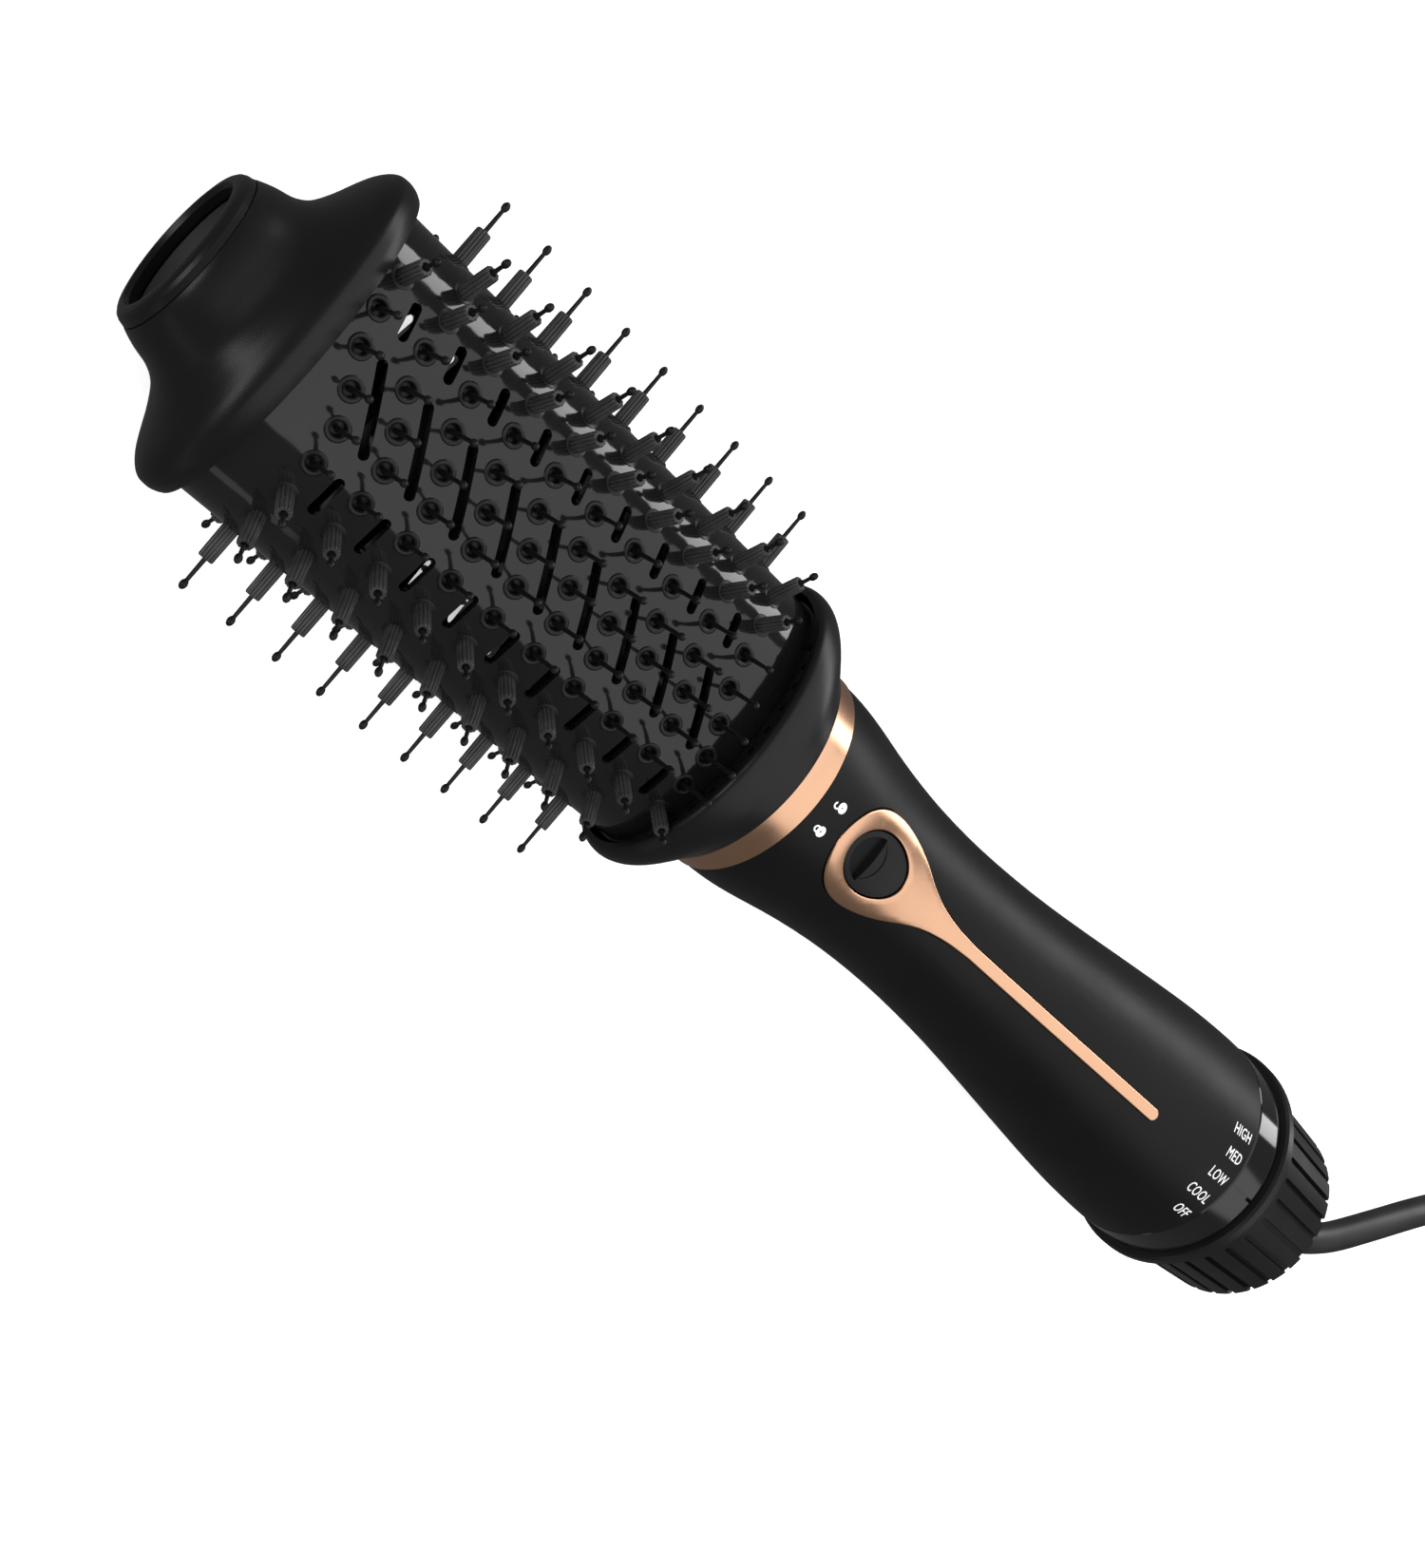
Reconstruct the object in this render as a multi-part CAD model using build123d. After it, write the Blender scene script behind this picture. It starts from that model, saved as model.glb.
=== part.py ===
from build123d import *
import math
import os

# Hot air brush, in millimetres. The brush lies along X with its nose towards +X.
# It rests on Z = 0. The shapes are drawn about the brush's own axis, and lift() raises them by AXIS_Z.

# ---- driving dimensions ----
NOSE_X = 169.0            # front rim of the nose
TAIL_X = -169.0           # end of the dial's grip
AXIS_Z = 28.8             # height of the brush's axis over the surface it rests on
WALL = 2.0                # moulded wall
GAP = 0.3                 # clearance between pieces that move

BARREL_A = 28.8           # barrel's half width, along Y
BARREL_B = 17.8           # barrel's half thickness, along Z
BARREL_FRONT = 146.3
BARREL_REAR = 42.0
PITCH = 10.0              # from one bristle to the next along a row
FIRST_BRISTLE_X = 139.2   # first bristle of the middle row
BARREL_SCREW_R = 1.5

BRISTLE_HOLE_R = 2.05
PIN_R = 0.45
BALL_R = 0.72
TUFT_R = 1.45
TUFT_TOP = 6.5

SLOT_W = 1.9
SLOT_COUNT = 9
# ends (x, y) of the three slots of one pitch, x from the middle row's bristle
SLOT_ENDS = [((-0.9, -6.9), (-8.8, 7.1)), ((-0.4, -17.4), (-1.3, -10.8)), ((-8.8, 11.3), (-9.0, 18.7))]

COLLAR_FLOOR_REAR = 33.3  # the collar's floor, between the ring and the barrel's foot
COLLAR_FLOOR_FRONT = 35.2
RING_FRONT = 32.8
RING_REAR = 25.2
RING_R = 23.6
HANDLE_FRONT = 25.2
HANDLE_REAR = -127.0
TRIM_PROUD = 0.4          # the trim stands this far out of the handle
TRIM_DEPTH = 0.9
TRIM_TAIL_W = 2.9
TRIM_END_X = -95.2
HOLE_X = 3.7              # centre of the release button's opening
HOLE_A = 9.0
HOLE_B = 6.6
SCOOP_X = 5.5             # steep wall of the button's finger scoop

SOCKET_R = 18.6
SPIGOT_R = 16.3
SPIGOT_REAR = 9.0
LATCH_NOTCH_DEG = 40.0    # half the angle of the notch, so the latch stays in it while the head turns

DIAL_FRONT = -127.3
BAND_REAR = -137.0
BAND_R = 27.2
FLANGE_R = 28.8
FLANGE_REAR = -140.8
GRIP_R_FRONT = 26.2
GRIP_R_REAR = 24.0
GROOVES = 30
TAIL_TUBE_R = 20.0
TAIL_TUBE_REAR = -150.0

SHAFT_R = 1.5
IMPELLER_X = -106.0
IMPELLER_R = 17.6
BLADES = 9

BALL_FOOT_R = 6.9         # ball foot of the strain relief
CORD_R = 4.0
CORD_EXIT_X = -171.0      # where the lead leaves its strain relief
COIL_CENTRE = (-412.5, -11.0)
COIL_MID_R = 41.0         # radius at the middle of the coil's turns
PLUG_HEIGHT = 8.5         # plug's axis over the surface it lies on
PLUG_HEADING = 100.0      # plug's direction in degrees from +X towards +Y
PLUG_PIN_R = 2.4
PLUG_PIN_LENGTH = 19.0
PLUG_PIN_CENTRES = 19.0

SCREW_PLACES = [(-25.8, -17.4), (-112.0, -25.2)]  # (x, underside of the head)

# handle's outer radius at stations along X
HANDLE_STATIONS = [(25.2, 23.25), (14.2, 22.6), (4.2, 21.0), (-5.8, 19.7), (-15.8, 18.95), (-25.8, 18.7),
                   (-35.8, 18.9), (-50.8, 19.8), (-70.8, 21.9), (-90.8, 24.3), (-110.8, 26.4), (-127.0, 27.2)]


# ---- helpers ----
def lathe(points):
    """Solid of revolution about X from (x, radius) points."""
    return revolve(Plane.XZ * make_face(Polyline(*points, close=True)), Axis.X)


def tube(x_rear, x_front, r_out, r_in):
    return lathe([(x_rear, r_in), (x_front, r_in), (x_front, r_out), (x_rear, r_out)])


def post(radius, length):
    """Cylinder that stands on the local origin, along Z."""
    return Cylinder(radius, length, align=(Align.CENTER, Align.CENTER, Align.MIN))


def rod(x_rear, x_front, radius):
    return Pos(x_rear, 0, 0) * Rot(0, 90, 0) * post(radius, x_front - x_rear)


def section(x, a, b):
    """Ellipse of half width a and half thickness b, square to X at x."""
    return Plane(origin=(x, 0, 0), x_dir=(0, 1, 0), z_dir=(1, 0, 0)) * Ellipse(a, b)


def oval_tube(x_rear, x_front, a, b, wall):
    outer = extrude(section(x_rear, a, b), x_front - x_rear)
    return outer - extrude(section(x_rear, a - wall, b - wall), x_front - x_rear)


def oval_loft(stations):
    return loft([section(x, a, b) for x, a, b in stations])


def block(x0, x1, y0, y1, z0, z1):
    return Pos((x0 + x1) / 2, (y0 + y1) / 2, (z0 + z1) / 2) * Box(x1 - x0, y1 - y0, z1 - z0)


def lift(shape):
    return Pos(0, 0, AXIS_Z) * shape


def save(name, *solids):
    """Writes one node; a group of identical pieces stays a compound of separate solids."""
    parts = [s for shape in solids for s in shape.solids()]
    whole = parts[0] if len(parts) == 1 else Compound(children=parts)
    export_step(lift(whole), "parts/" + name + ".step")


# ---- brush head ----
# each row: place of the bristles' tips (y, z), lean from Z in degrees, stagger along X, count, tufted
ROWS = [
    (0.0, 28.08, 0.0, 0.0, 10, False),
    (5.94, 28.08, 0.0, -2.57, 10, False),
    (12.33, 26.3, 0.0, -3.57, 10, False),
    (22.76, 22.22, 24.7, -4.12, 10, True),
    (31.44, 16.18, 47.0, -4.32, 9, True),
    (40.9, 0.0, 90.0, -5.2, 9, True),
    (-31.44, 16.18, -47.0, -6.26, 9, True),
    (-22.76, 22.22, -24.7, 3.96, 10, True),
    (-12.33, 26.3, 0.0, 4.4, 10, False),
    (-5.94, 28.08, 0.0, 3.05, 10, False),
]
SIDE_ROW = ROWS[5]


def root_of(tip_y, tip_z, lean):
    """Point where a bristle's line from its tip meets the barrel's outer surface."""
    dy, dz = math.sin(math.radians(lean)), math.cos(math.radians(lean))
    a = (dy / BARREL_A) ** 2 + (dz / BARREL_B) ** 2
    b = 2 * (tip_y * dy / BARREL_A ** 2 + tip_z * dz / BARREL_B ** 2)
    c = (tip_y / BARREL_A) ** 2 + (tip_z / BARREL_B) ** 2 - 1
    t = (-b + math.sqrt(b * b - 4 * a * c)) / (2 * a)
    return tip_y + t * dy, tip_z + t * dz, -t


def row_places():
    """For each of the twenty rows: bristle length, tufted or not, and the places on the barrel."""
    rows = []
    for half_turn in (0, 180):
        for tip_y, tip_z, lean, stagger, count, tufted in ROWS:
            y, z, length = root_of(tip_y, tip_z, lean)
            turn = Rot(half_turn, 0, 0)
            first = FIRST_BRISTLE_X + stagger
            places = [turn * Pos(first - i * PITCH, y, z) * Rot(-lean, 0, 0) for i in range(count)]
            rows.append((length, tufted, places))
    return rows


def bristle(length, tufted):
    """One bristle on +Z: its foot in the wall, a tuft on the outer rows, and a pin with a ball tip."""
    foot_top = -0.9
    foot = Pos(0, 0, -1.7) * post(BRISTLE_HOLE_R, foot_top + 1.7)
    pin = Pos(0, 0, foot_top) * post(PIN_R, length - foot_top)
    ball = Pos(0, 0, length) * Sphere(BALL_R)
    solid = foot + pin + ball
    if tufted:
        solid += Pos(0, 0, foot_top) * post(TUFT_R, TUFT_TOP - foot_top)
    return solid


def slot_cutter(start, end):
    """Rounded slot through the barrel's flat side, from start to end (x, y)."""
    dx, dy = end[0] - start[0], end[1] - start[1]
    outline = SlotCenterToCenter(math.hypot(dx, dy) - SLOT_W, SLOT_W)
    angle = math.degrees(math.atan2(dy, dx))
    place = Pos((start[0] + end[0]) / 2, (start[1] + end[1]) / 2, 5) * Rot(0, 0, angle)
    return extrude(place * outline, 20)


def barrel(rows):
    """Oval shell with a socket for each bristle and slots for the air."""
    body = oval_tube(BARREL_REAR, BARREL_FRONT, BARREL_A, BARREL_B, WALL)
    top = body & block(BARREL_REAR - 1, BARREL_FRONT + 1, -40, 40, 0, 40)
    for i in range(SLOT_COUNT):
        x = FIRST_BRISTLE_X - i * PITCH
        for start, end in SLOT_ENDS:
            top -= slot_cutter((x + start[0], start[1]), (x + end[0], end[1]))
    half = len(ROWS)
    side = ROWS.index(SIDE_ROW)
    for number, (_, _, places) in enumerate(rows[:half]):
        if number != side:
            top -= [place * Cylinder(BRISTLE_HOLE_R, 8) for place in places]
    whole = top + Rot(180, 0, 0) * top
    for _, _, places in (rows[side], rows[side + half]):
        whole -= [place * Cylinder(BRISTLE_HOLE_R, 8) for place in places]
    return whole


# stations (x, half width, half thickness); the band ends in a crisp edge where the trumpet begins
NOSE_BAND = [(146.5, 31.5, 20.5), (150.3, 32.0, 21.0)]
NOSE_OUTER = [(150.3, 31.8, 20.85), (151.5, 30.6, 20.4), (153.4, 27.8, 19.7), (155.4, 23.9, 18.8),
              (157.6, 20.3, 18.2), (160.2, 18.3, 17.8), (163.5, 16.9, 16.7), (166.6, 15.3, 15.3)]
NOSE_INNER = [(146.5, 28.6, 17.6), (150.5, 28.4, 17.5), (153.4, 24.0, 16.8), (156.5, 18.6, 15.9),
              (160.2, 16.2, 15.6), (166.6, 13.3, 13.3)]


def nose_cap():
    """Soft cool-touch trumpet that closes the barrel's front."""
    shell = oval_loft(NOSE_BAND) + oval_loft(NOSE_OUTER) - oval_loft(NOSE_INNER)
    plug = oval_tube(139.5, 150.0, BARREL_A - WALL - 0.6, BARREL_B - WALL - 0.6, 1.4)
    web = oval_tube(146.5, 148.5, 29.5, 18.5, 4.5)
    return shell + plug + web


def nose_rim():
    """Lip at the very front, past the fine parting line."""
    return lathe([(166.6, 12.4), (168.2, 12.0), (NOSE_X, 12.5), (NOSE_X, 13.2), (168.8, 14.0), (168.4, 14.6),
                  (167.8, 14.95), (166.8, 15.2), (166.8, 14.9), (166.6, 14.9)])


def nose_dish():
    """Dished plate inside the nose, held by the barrel's long screw."""
    dish = lathe([(158.6, 0), (159.6, 0), (159.6, 4.0), (160.4, 6.5), (166.2, 12.3), (166.2, 13.0), (165.2, 13.0),
                  (159.6, 8.0)])
    return dish - rod(150.0, 170.0, BARREL_SCREW_R)


COLLAR_OUTER = [(43.6, 31.2, 24.2), (42.8, 32.0, 25.0), (41.0, 32.4, 25.4), (38.6, 31.8, 25.5),
                (36.4, 30.1, 25.4), (34.3, 27.6, 25.2), (32.2, 25.4, 25.0)]


def collar():
    """Oval cup that carries the barrel and faces the nose."""
    outer = oval_loft(COLLAR_OUTER[::-1])
    mouth = oval_loft([(COLLAR_FLOOR_FRONT, 26.6, 22.4), (37.6, 28.9, 22.8), (43.7, 30.2, 23.2)])
    skirt = rod(31.0, COLLAR_FLOOR_REAR, RING_R + GAP + 0.1)
    return outer - mouth - rod(31.0, 36.0, SPIGOT_R) - skirt


def vent_ring():
    """Ring round the barrel's foot with a row of small air notches."""
    sleeve = oval_tube(37.4, BARREL_REAR, BARREL_A - 0.3, BARREL_B - 0.3, 2.4)
    inside = extrude(section(40.4, BARREL_A - 0.5, BARREL_B - 0.5), 1.4)
    floor = extrude(section(40.4, 29.1, 22.5), 1.4) - inside
    notches = []
    for half_turn in (0, 180):
        for i in range(11):
            angle = math.radians(-50 + 10 * i)
            y, z = 28.9 * math.sin(angle), 20.4 * math.cos(angle)
            notches.append(Rot(half_turn, 0, 0) * block(40, 43, y - 0.7, y + 0.7, z - 1.1, z + 1.1))
    return sleeve + floor - notches


def spigot():
    """Tube that plugs into the handle; its rear notch takes the latch and lets the head turn."""
    body = tube(SPIGOT_REAR, 36.2, SPIGOT_R, SPIGOT_R - WALL)
    half_y = 40 * math.sin(math.radians(LATCH_NOTCH_DEG))
    half_z = 40 * math.cos(math.radians(LATCH_NOTCH_DEG))
    wedge = make_face(Polyline((0, 0), (half_y, half_z), (-half_y, half_z), close=True))
    sector = extrude(Plane(origin=(SPIGOT_REAR - 1, 0, 0), x_dir=(0, 1, 0), z_dir=(1, 0, 0)) * wedge, 5.2)
    spider = block(32.0, 34.0, -SPIGOT_R + 1, SPIGOT_R - 1, -2.5, 2.5)
    hub = rod(30.0, 36.0, 4.0)
    return body - sector + spider + hub - rod(25.0, 45.0, BARREL_SCREW_R)


def barrel_screw():
    """Long screw from the nose dish to the spigot's hub."""
    shank = rod(30.5, 160.5, BARREL_SCREW_R)
    head = rod(159.6, 161.6, 3.2)
    recess = block(160.6, 163.0, -0.5, 0.5, -2.2, 2.2) + block(160.6, 163.0, -2.2, 2.2, -0.5, 0.5)
    return shank + head - recess


def air_baffle():
    """Hollow cone on the long screw that spreads the air along the barrel."""
    outer = lathe([(60, BARREL_SCREW_R), (132, BARREL_SCREW_R), (132, 12.5), (128, 12.5), (60, 3.4)])
    inner = lathe([(66, 2.6), (130, 2.6), (130, 10.8), (126, 10.8)])
    return outer - inner


# ---- handle ----
def handle_outer(offset):
    """Body of revolution inside the handle's outer face moved out by offset."""
    points = [(x, r + offset) for x, r in HANDLE_STATIONS]
    curve = Spline(*points)
    rest = Polyline(points[-1], (HANDLE_REAR, 0), (HANDLE_FRONT, 0), points[0])
    return revolve(Plane.XZ * make_face(curve + rest), Axis.X)


def trim_outline():
    """Teardrop outline seen from above: round the button's opening, then a long thin tail."""
    edges = ThreePointArc((4.0, 9.9), (16.2, 0), (4.0, -9.9))
    half_w = TRIM_TAIL_W / 2
    edges += ThreePointArc((TRIM_END_X, half_w), (TRIM_END_X - half_w, 0), (TRIM_END_X, -half_w))
    for side in (1, -1):
        neck_end = (-30.0, side * half_w)
        shoulder = TangentArc((4.0, side * 9.9), (-8.5, side * 6.1), tangent=(-9.9, side * -2.08))
        neck = TangentArc((-8.5, side * 6.1), neck_end, tangent=shoulder % 1)
        edges += shoulder + neck + Line(neck_end, (TRIM_END_X, side * half_w))
    return make_face(edges)


def button_hole(grow):
    return Pos(HOLE_X, 0, 0) * Ellipse(HOLE_A + grow, HOLE_B + grow)


def teardrop_trim():
    """Metallised inlay round the button and down the handle's back."""
    skin = handle_outer(TRIM_PROUD) - handle_outer(-TRIM_DEPTH)
    return (skin & extrude(trim_outline(), 40)) - extrude(button_hole(0), 40)


def handle_shell(upper):
    """Half of the handle's casing, split along the sides."""
    shell = handle_outer(0) - handle_outer(-WALL)
    sign = 1 if upper else -1
    half = block(HANDLE_REAR, HANDLE_FRONT, -30, 30, min(0, 30 * sign), max(0, 30 * sign))
    shell = shell & half
    if upper:
        recess = extrude(offset(trim_outline(), 0.15), 40) - handle_outer(-TRIM_DEPTH)
        shell = shell - recess - extrude(button_hole(0), 40)
        return shell
    for x, head_z in SCREW_PLACES:
        seat = Pos(x, 0, head_z + 0.2) * Cylinder(3.2, 20, align=(Align.CENTER, Align.CENTER, Align.MAX))
        shell = shell - seat - Pos(x, 0, head_z) * Cylinder(1.3, 10)
    return shell


def handle_screws():
    """Two self-tapping screws through the lower shell, with cross recesses."""
    screws = []
    for x, head_z in SCREW_PLACES:
        shank = Pos(x, 0, head_z + 0.2) * post(1.3, 1.2)
        head = Pos(x, 0, head_z - 1.0) * post(2.6, 1.2)
        recess = Pos(x, 0, head_z - 0.9) * (Box(3.2, 0.7, 0.6) + Box(0.7, 3.2, 0.6))
        screws.append(head + shank - recess)
    return screws


def front_ring():
    """Metallised ring at the front of the handle."""
    return lathe([(RING_REAR, 21.0), (RING_FRONT, 21.0), (RING_FRONT, 23.0), (RING_FRONT - 0.6, RING_R),
                  (RING_REAR + 0.4, RING_R), (RING_REAR, 23.2)])


def coupling_socket():
    """Sleeve in the handle that takes the head's spigot; a window lets the latch through."""
    sleeve = tube(4.0, 24.9, SOCKET_R, SPIGOT_R + GAP)
    flange = tube(23.4, 24.9, 21.0, SOCKET_R)
    stop = tube(4.0, 5.6, SOCKET_R, 13.2)
    window = block(3.0, 16.0, -6.9, 6.9, 10, 22)
    return sleeve + flange + stop - window


def release_button():
    """Oval button flush with the handle, with a sloping finger scoop and a fine arc engraved behind it."""
    column = Pos(0, 0, 16.2) * extrude(button_hole(-0.35), 10)
    ramp = Pos(SCOOP_X, 0, 19.5) * Rot(0, -17, 0) * Box(12, 20, 8, align=(Align.MIN, Align.CENTER, Align.MIN))
    scoop = ramp & extrude(button_hole(-1.5), 40)
    outer_arc = ThreePointArc((SCOOP_X, -4.6), (SCOOP_X - 3.2, 0), (SCOOP_X, 4.6))
    inner_arc = ThreePointArc((SCOOP_X, 4.6), (SCOOP_X - 2.85, 0), (SCOOP_X, -4.6))
    engraving = extrude(make_face(outer_arc + inner_arc), 40) - handle_outer(-0.35)
    return (column & handle_outer(-0.1)) - scoop - engraving


def latch_tongue():
    """Steel tongue under the button that stands in the spigot's notch."""
    return block(-2.0, 12.6, -3.2, 3.2, 15.2, 16.2)


def heater_tube():
    return tube(-62.0, -7.0, 15.4, 14.8)


def heater_boards():
    """Two crossed mica boards."""
    return block(-60.0, -9.0, -12.0, 12.0, -0.4, 0.4) + block(-60.0, -9.0, -0.4, 0.4, -12.0, 12.0)


def heater_windings():
    """Resistance wire, drawn as a row of rings over the boards' edges."""
    return [tube(-14.0 - 2.8 * i, -13.2 - 2.8 * i, 12.85, 12.05) for i in range(15)]


def thermal_cutout():
    return block(-56.0, -46.0, 2.0, 8.0, 0.4, 3.2)


def motor_can():
    """Small mains motor: a can with a bearing boss at each end, bored for the shaft."""
    can = lathe([(-97.0, 0), (-68.0, 0), (-68.0, 4.0), (-70.0, 4.0), (-70.0, 13.0), (-71.0, 14.0),
                 (-94.0, 14.0), (-95.0, 13.0), (-95.0, 4.0), (-97.0, 4.0)])
    return can - rod(-99.0, -66.0, SHAFT_R + 0.05)


def motor_mount():
    """Ring duct with four ribs that centre the motor in the air stream."""
    duct = tube(-96.0, -72.0, 19.6, 18.4)
    inner = tube(-90.0, -74.0, 15.4, 14.0)
    ribs = [Rot(45 + 90 * i, 0, 0) * block(-90.0, -74.0, -0.8, 0.8, 15.2, 18.6) for i in range(4)]
    mount = duct + inner
    for rib in ribs:
        mount += rib
    return mount


def motor_shaft():
    return rod(-108.0, -66.0, SHAFT_R)


def impeller():
    """Axial fan with twisted blades on a hub that is pressed on the shaft."""
    hub = lathe([(-110.0, 0), (-101.0, 0), (-101.0, 6.0), (-108.0, 6.0), (-110.0, 4.0)])
    hub = hub - rod(-109.0, -100.0, SHAFT_R)
    blade = Box(8.0, 1.2, IMPELLER_R - 5.5, align=(Align.CENTER, Align.CENTER, Align.MIN))
    blade = Pos(IMPELLER_X + 0.5, 0, 5.5) * Rot(0, 0, 35) * blade
    solid = hub
    for i in range(BLADES):
        solid += Rot(360 / BLADES * i, 0, 0) * blade
    return solid


def fan_shroud():
    return tube(-113.0, -97.5, 19.6, 18.4) + tube(-113.0, -111.0, 23.6, 19.6)


def switch_board():
    """Ring-shaped board with the contact tracks of the speed selector."""
    return tube(-123.4, -121.8, 24.4, TAIL_TUBE_R + 0.2)


def wiper_ring():
    """Contact ring that turns with the dial over the switch board."""
    ring = tube(-126.9, -125.6, 24.0, TAIL_TUBE_R + 0.6)
    feet = [Rot(120 * i, 0, 0) * block(-128.0, -126.9, -1.5, 1.5, 20.8, 23.8) for i in range(3)]
    brushes = [Rot(120 * i, 0, 0) * block(-125.6, -124.0, -1.0, 1.0, 21.4, 23.4) for i in range(3)]
    for piece in feet + brushes:
        ring += piece
    return ring


def tail_tube():
    """Fixed sleeve at the rear; the dial turns on it and the air is drawn in through it."""
    flange = tube(-121.8, -119.8, 24.6, 18.2)
    return flange + tube(TAIL_TUBE_REAR, -119.8, TAIL_TUBE_R, 18.2)


def inlet_grille():
    """Perforated end plate with the seat of the cord swivel at its centre."""
    plate = tube(TAIL_TUBE_REAR + 0.2, TAIL_TUBE_REAR + 2.0, 18.2, 8.4)
    holes = []
    for ring_r, count in ((11.0, 12), (14.0, 16), (16.4, 20)):
        for i in range(count):
            turn = Rot(360 / count * i, 0, 0)
            holes.append(turn * Pos(TAIL_TUBE_REAR + 1, 0, ring_r) * Rot(0, 90, 0) * Cylinder(0.95, 6))
    seat = tube(TAIL_TUBE_REAR - 1.0, TAIL_TUBE_REAR + 8.0, 8.4, 7.0)
    return plate + seat - holes


def inlet_filter():
    """Fine metal mesh disc in front of the grille, with a plain rim."""
    return tube(TAIL_TUBE_REAR + 3.2, TAIL_TUBE_REAR + 3.8, 18.1, 8.6)


# ---- dial ----
def dial_band():
    """Glossy ring with an engraved pointer."""
    ring = lathe([(BAND_REAR, 24.0), (DIAL_FRONT, 24.0), (DIAL_FRONT, 26.9), (DIAL_FRONT - 0.4, BAND_R),
                  (BAND_REAR + 0.8, BAND_R), (BAND_REAR, 26.6)])
    return ring - block(-136.4, -128.6, -0.45, 0.45, 26.5, 29)


def dial_grip():
    """Flange and ribbed grip that turns on the tail tube."""
    bore = TAIL_TUBE_R + GAP
    inside = [(TAIL_X, 21.2), (TAIL_TUBE_REAR - 2, 21.2), (TAIL_TUBE_REAR, bore), (-128.0, bore)]
    flange = [(-128.0, 23.97), (BAND_REAR, 23.97), (BAND_REAR, 25.9), (-137.4, 28.2), (-138.0, FLANGE_R),
              (-140.0, FLANGE_R), (FLANGE_REAR, 28.2)]
    grip = [(FLANGE_REAR - 0.4, GRIP_R_FRONT), (TAIL_X + 1.2, GRIP_R_REAR + 0.1), (TAIL_X, GRIP_R_REAR - 0.8)]
    body = lathe(inside + flange + grip)
    groove_start = -145.8
    slope = math.degrees(math.atan((GRIP_R_FRONT - GRIP_R_REAR) / (FLANGE_REAR - TAIL_X)))
    cutter = extrude(Rectangle(60, 1.5, align=(Align.MAX, Align.CENTER)) + Circle(0.75), 6)
    place = Pos(groove_start, 0, 24.4) * Rot(0, -slope, 0)
    return body - [Rot(360 / GROOVES * i - 2, 0, 0) * place * cutter for i in range(GROOVES)]


# ---- cord ----
def strain_relief():
    """Tapered rubber sleeve with a ball foot, free to turn in the grille's seat."""
    centre = TAIL_TUBE_REAR + 1.0
    angles = [math.radians(t) for t in range(20, 141, 10)]
    arc = [(centre + BALL_FOOT_R * math.cos(a), BALL_FOOT_R * math.sin(a)) for a in angles]
    sleeve = [(-156.0, 5.9), (CORD_EXIT_X + 0.6, 5.0), (CORD_EXIT_X, 4.6), (CORD_EXIT_X, 0)]
    return lathe([(arc[0][0], 0)] + arc + sleeve)


def route_radii(points):
    """Arc radius at each corner of a cord's route."""
    radii = []
    for a, b, c in zip(points, points[1:], points[2:]):
        before, after = Vector(*b) - Vector(*a), Vector(*c) - Vector(*b)
        turn = math.radians(before.get_angle(after))
        radii.append(0.45 * min(before.length, after.length) / math.tan(turn / 2))
    return radii


def cord_tube(name, points):
    """Round lead along straight runs joined by tangent arcs."""
    radii = route_radii(points)
    print(name, "radii", [round(r, 1) for r in radii])
    path = FilletPolyline(*points, radius=radii)
    start = path @ 0
    profile = Plane(origin=start, z_dir=path % 0) * Circle(CORD_R)
    solid = sweep(profile, path=path)
    print(name, "length", round(path.length, 1), "volume/(section*length)",
          round(solid.volume / (math.pi * CORD_R ** 2 * path.length), 4))
    return solid


# the lead's route from the strain relief to the coil, about the brush's axis
LEAD = [(CORD_EXIT_X - GAP, 0, 0), (-181.5, 0, 0), (-193.2, -2.5, -0.2), (-204.6, -7.7, -0.9),
        (-218.5, -18.4, -2.8), (-237.3, -32.2, -6.4), (-260.5, -45.0, -12.6), (-288.0, -54.3, -19.2),
        (-317.5, -59.0, -23.8), (-348.0, -60.2, -24.8), (-380.0, -60.5, -24.8), (-412.5, -60.0, -24.8)]
# the tail's route from the top of the coil down to the plug
TAIL = [(-400.9, -54.5, -16.8), (-419.2, -59.4, -16.4), (-438.1, -57.7, -17.0), (-455.4, -49.7, -18.6),
        (-468.8, -36.3, -19.8), (-475.6, -21.8, -20.3)]


def cord_coil():
    """Outer shape of the neat coil that the rest of the lead is wound into: three turns, then two on top."""
    lower = Pos(COIL_MID_R, 4) * RectangleRounded(24, 8, 3.4)
    upper = Pos(COIL_MID_R, 10.5) * RectangleRounded(16, 9, 3.4)
    ring = revolve(Plane.XZ * (lower + upper), Axis.Z)
    return Pos(COIL_CENTRE[0], COIL_CENTRE[1], -AXIS_Z) * ring


def plug_place():
    """Frame at the plug's cord entry, its X along the plug."""
    return Pos(TAIL[-1][0], TAIL[-1][1], PLUG_HEIGHT - AXIS_Z) * Rot(0, 0, PLUG_HEADING)


def plug_body():
    """Moulded two-pin mains plug lying on its flat side, with a tapered cord grip."""
    grip = loft([Plane.YZ * Circle(CORD_R + 0.6), Plane.YZ.offset(20) * Circle(6.4)])
    front = Plane.YZ.offset(33) * RectangleRounded(36, 17, 7)
    body = loft([Plane.YZ.offset(18) * RectangleRounded(18, 13, 5), front])
    face = extrude(front, 6)
    return plug_place() * (grip + body + face)


def plug_pins():
    pin = rod(39.0, 39.0 + PLUG_PIN_LENGTH, PLUG_PIN_R)
    pin = fillet(pin.edges().sort_by(Axis.X)[-1], 1.2)
    return [plug_place() * Pos(0, side * PLUG_PIN_CENTRES / 2, 0) * pin for side in (-1, 1)]


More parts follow.
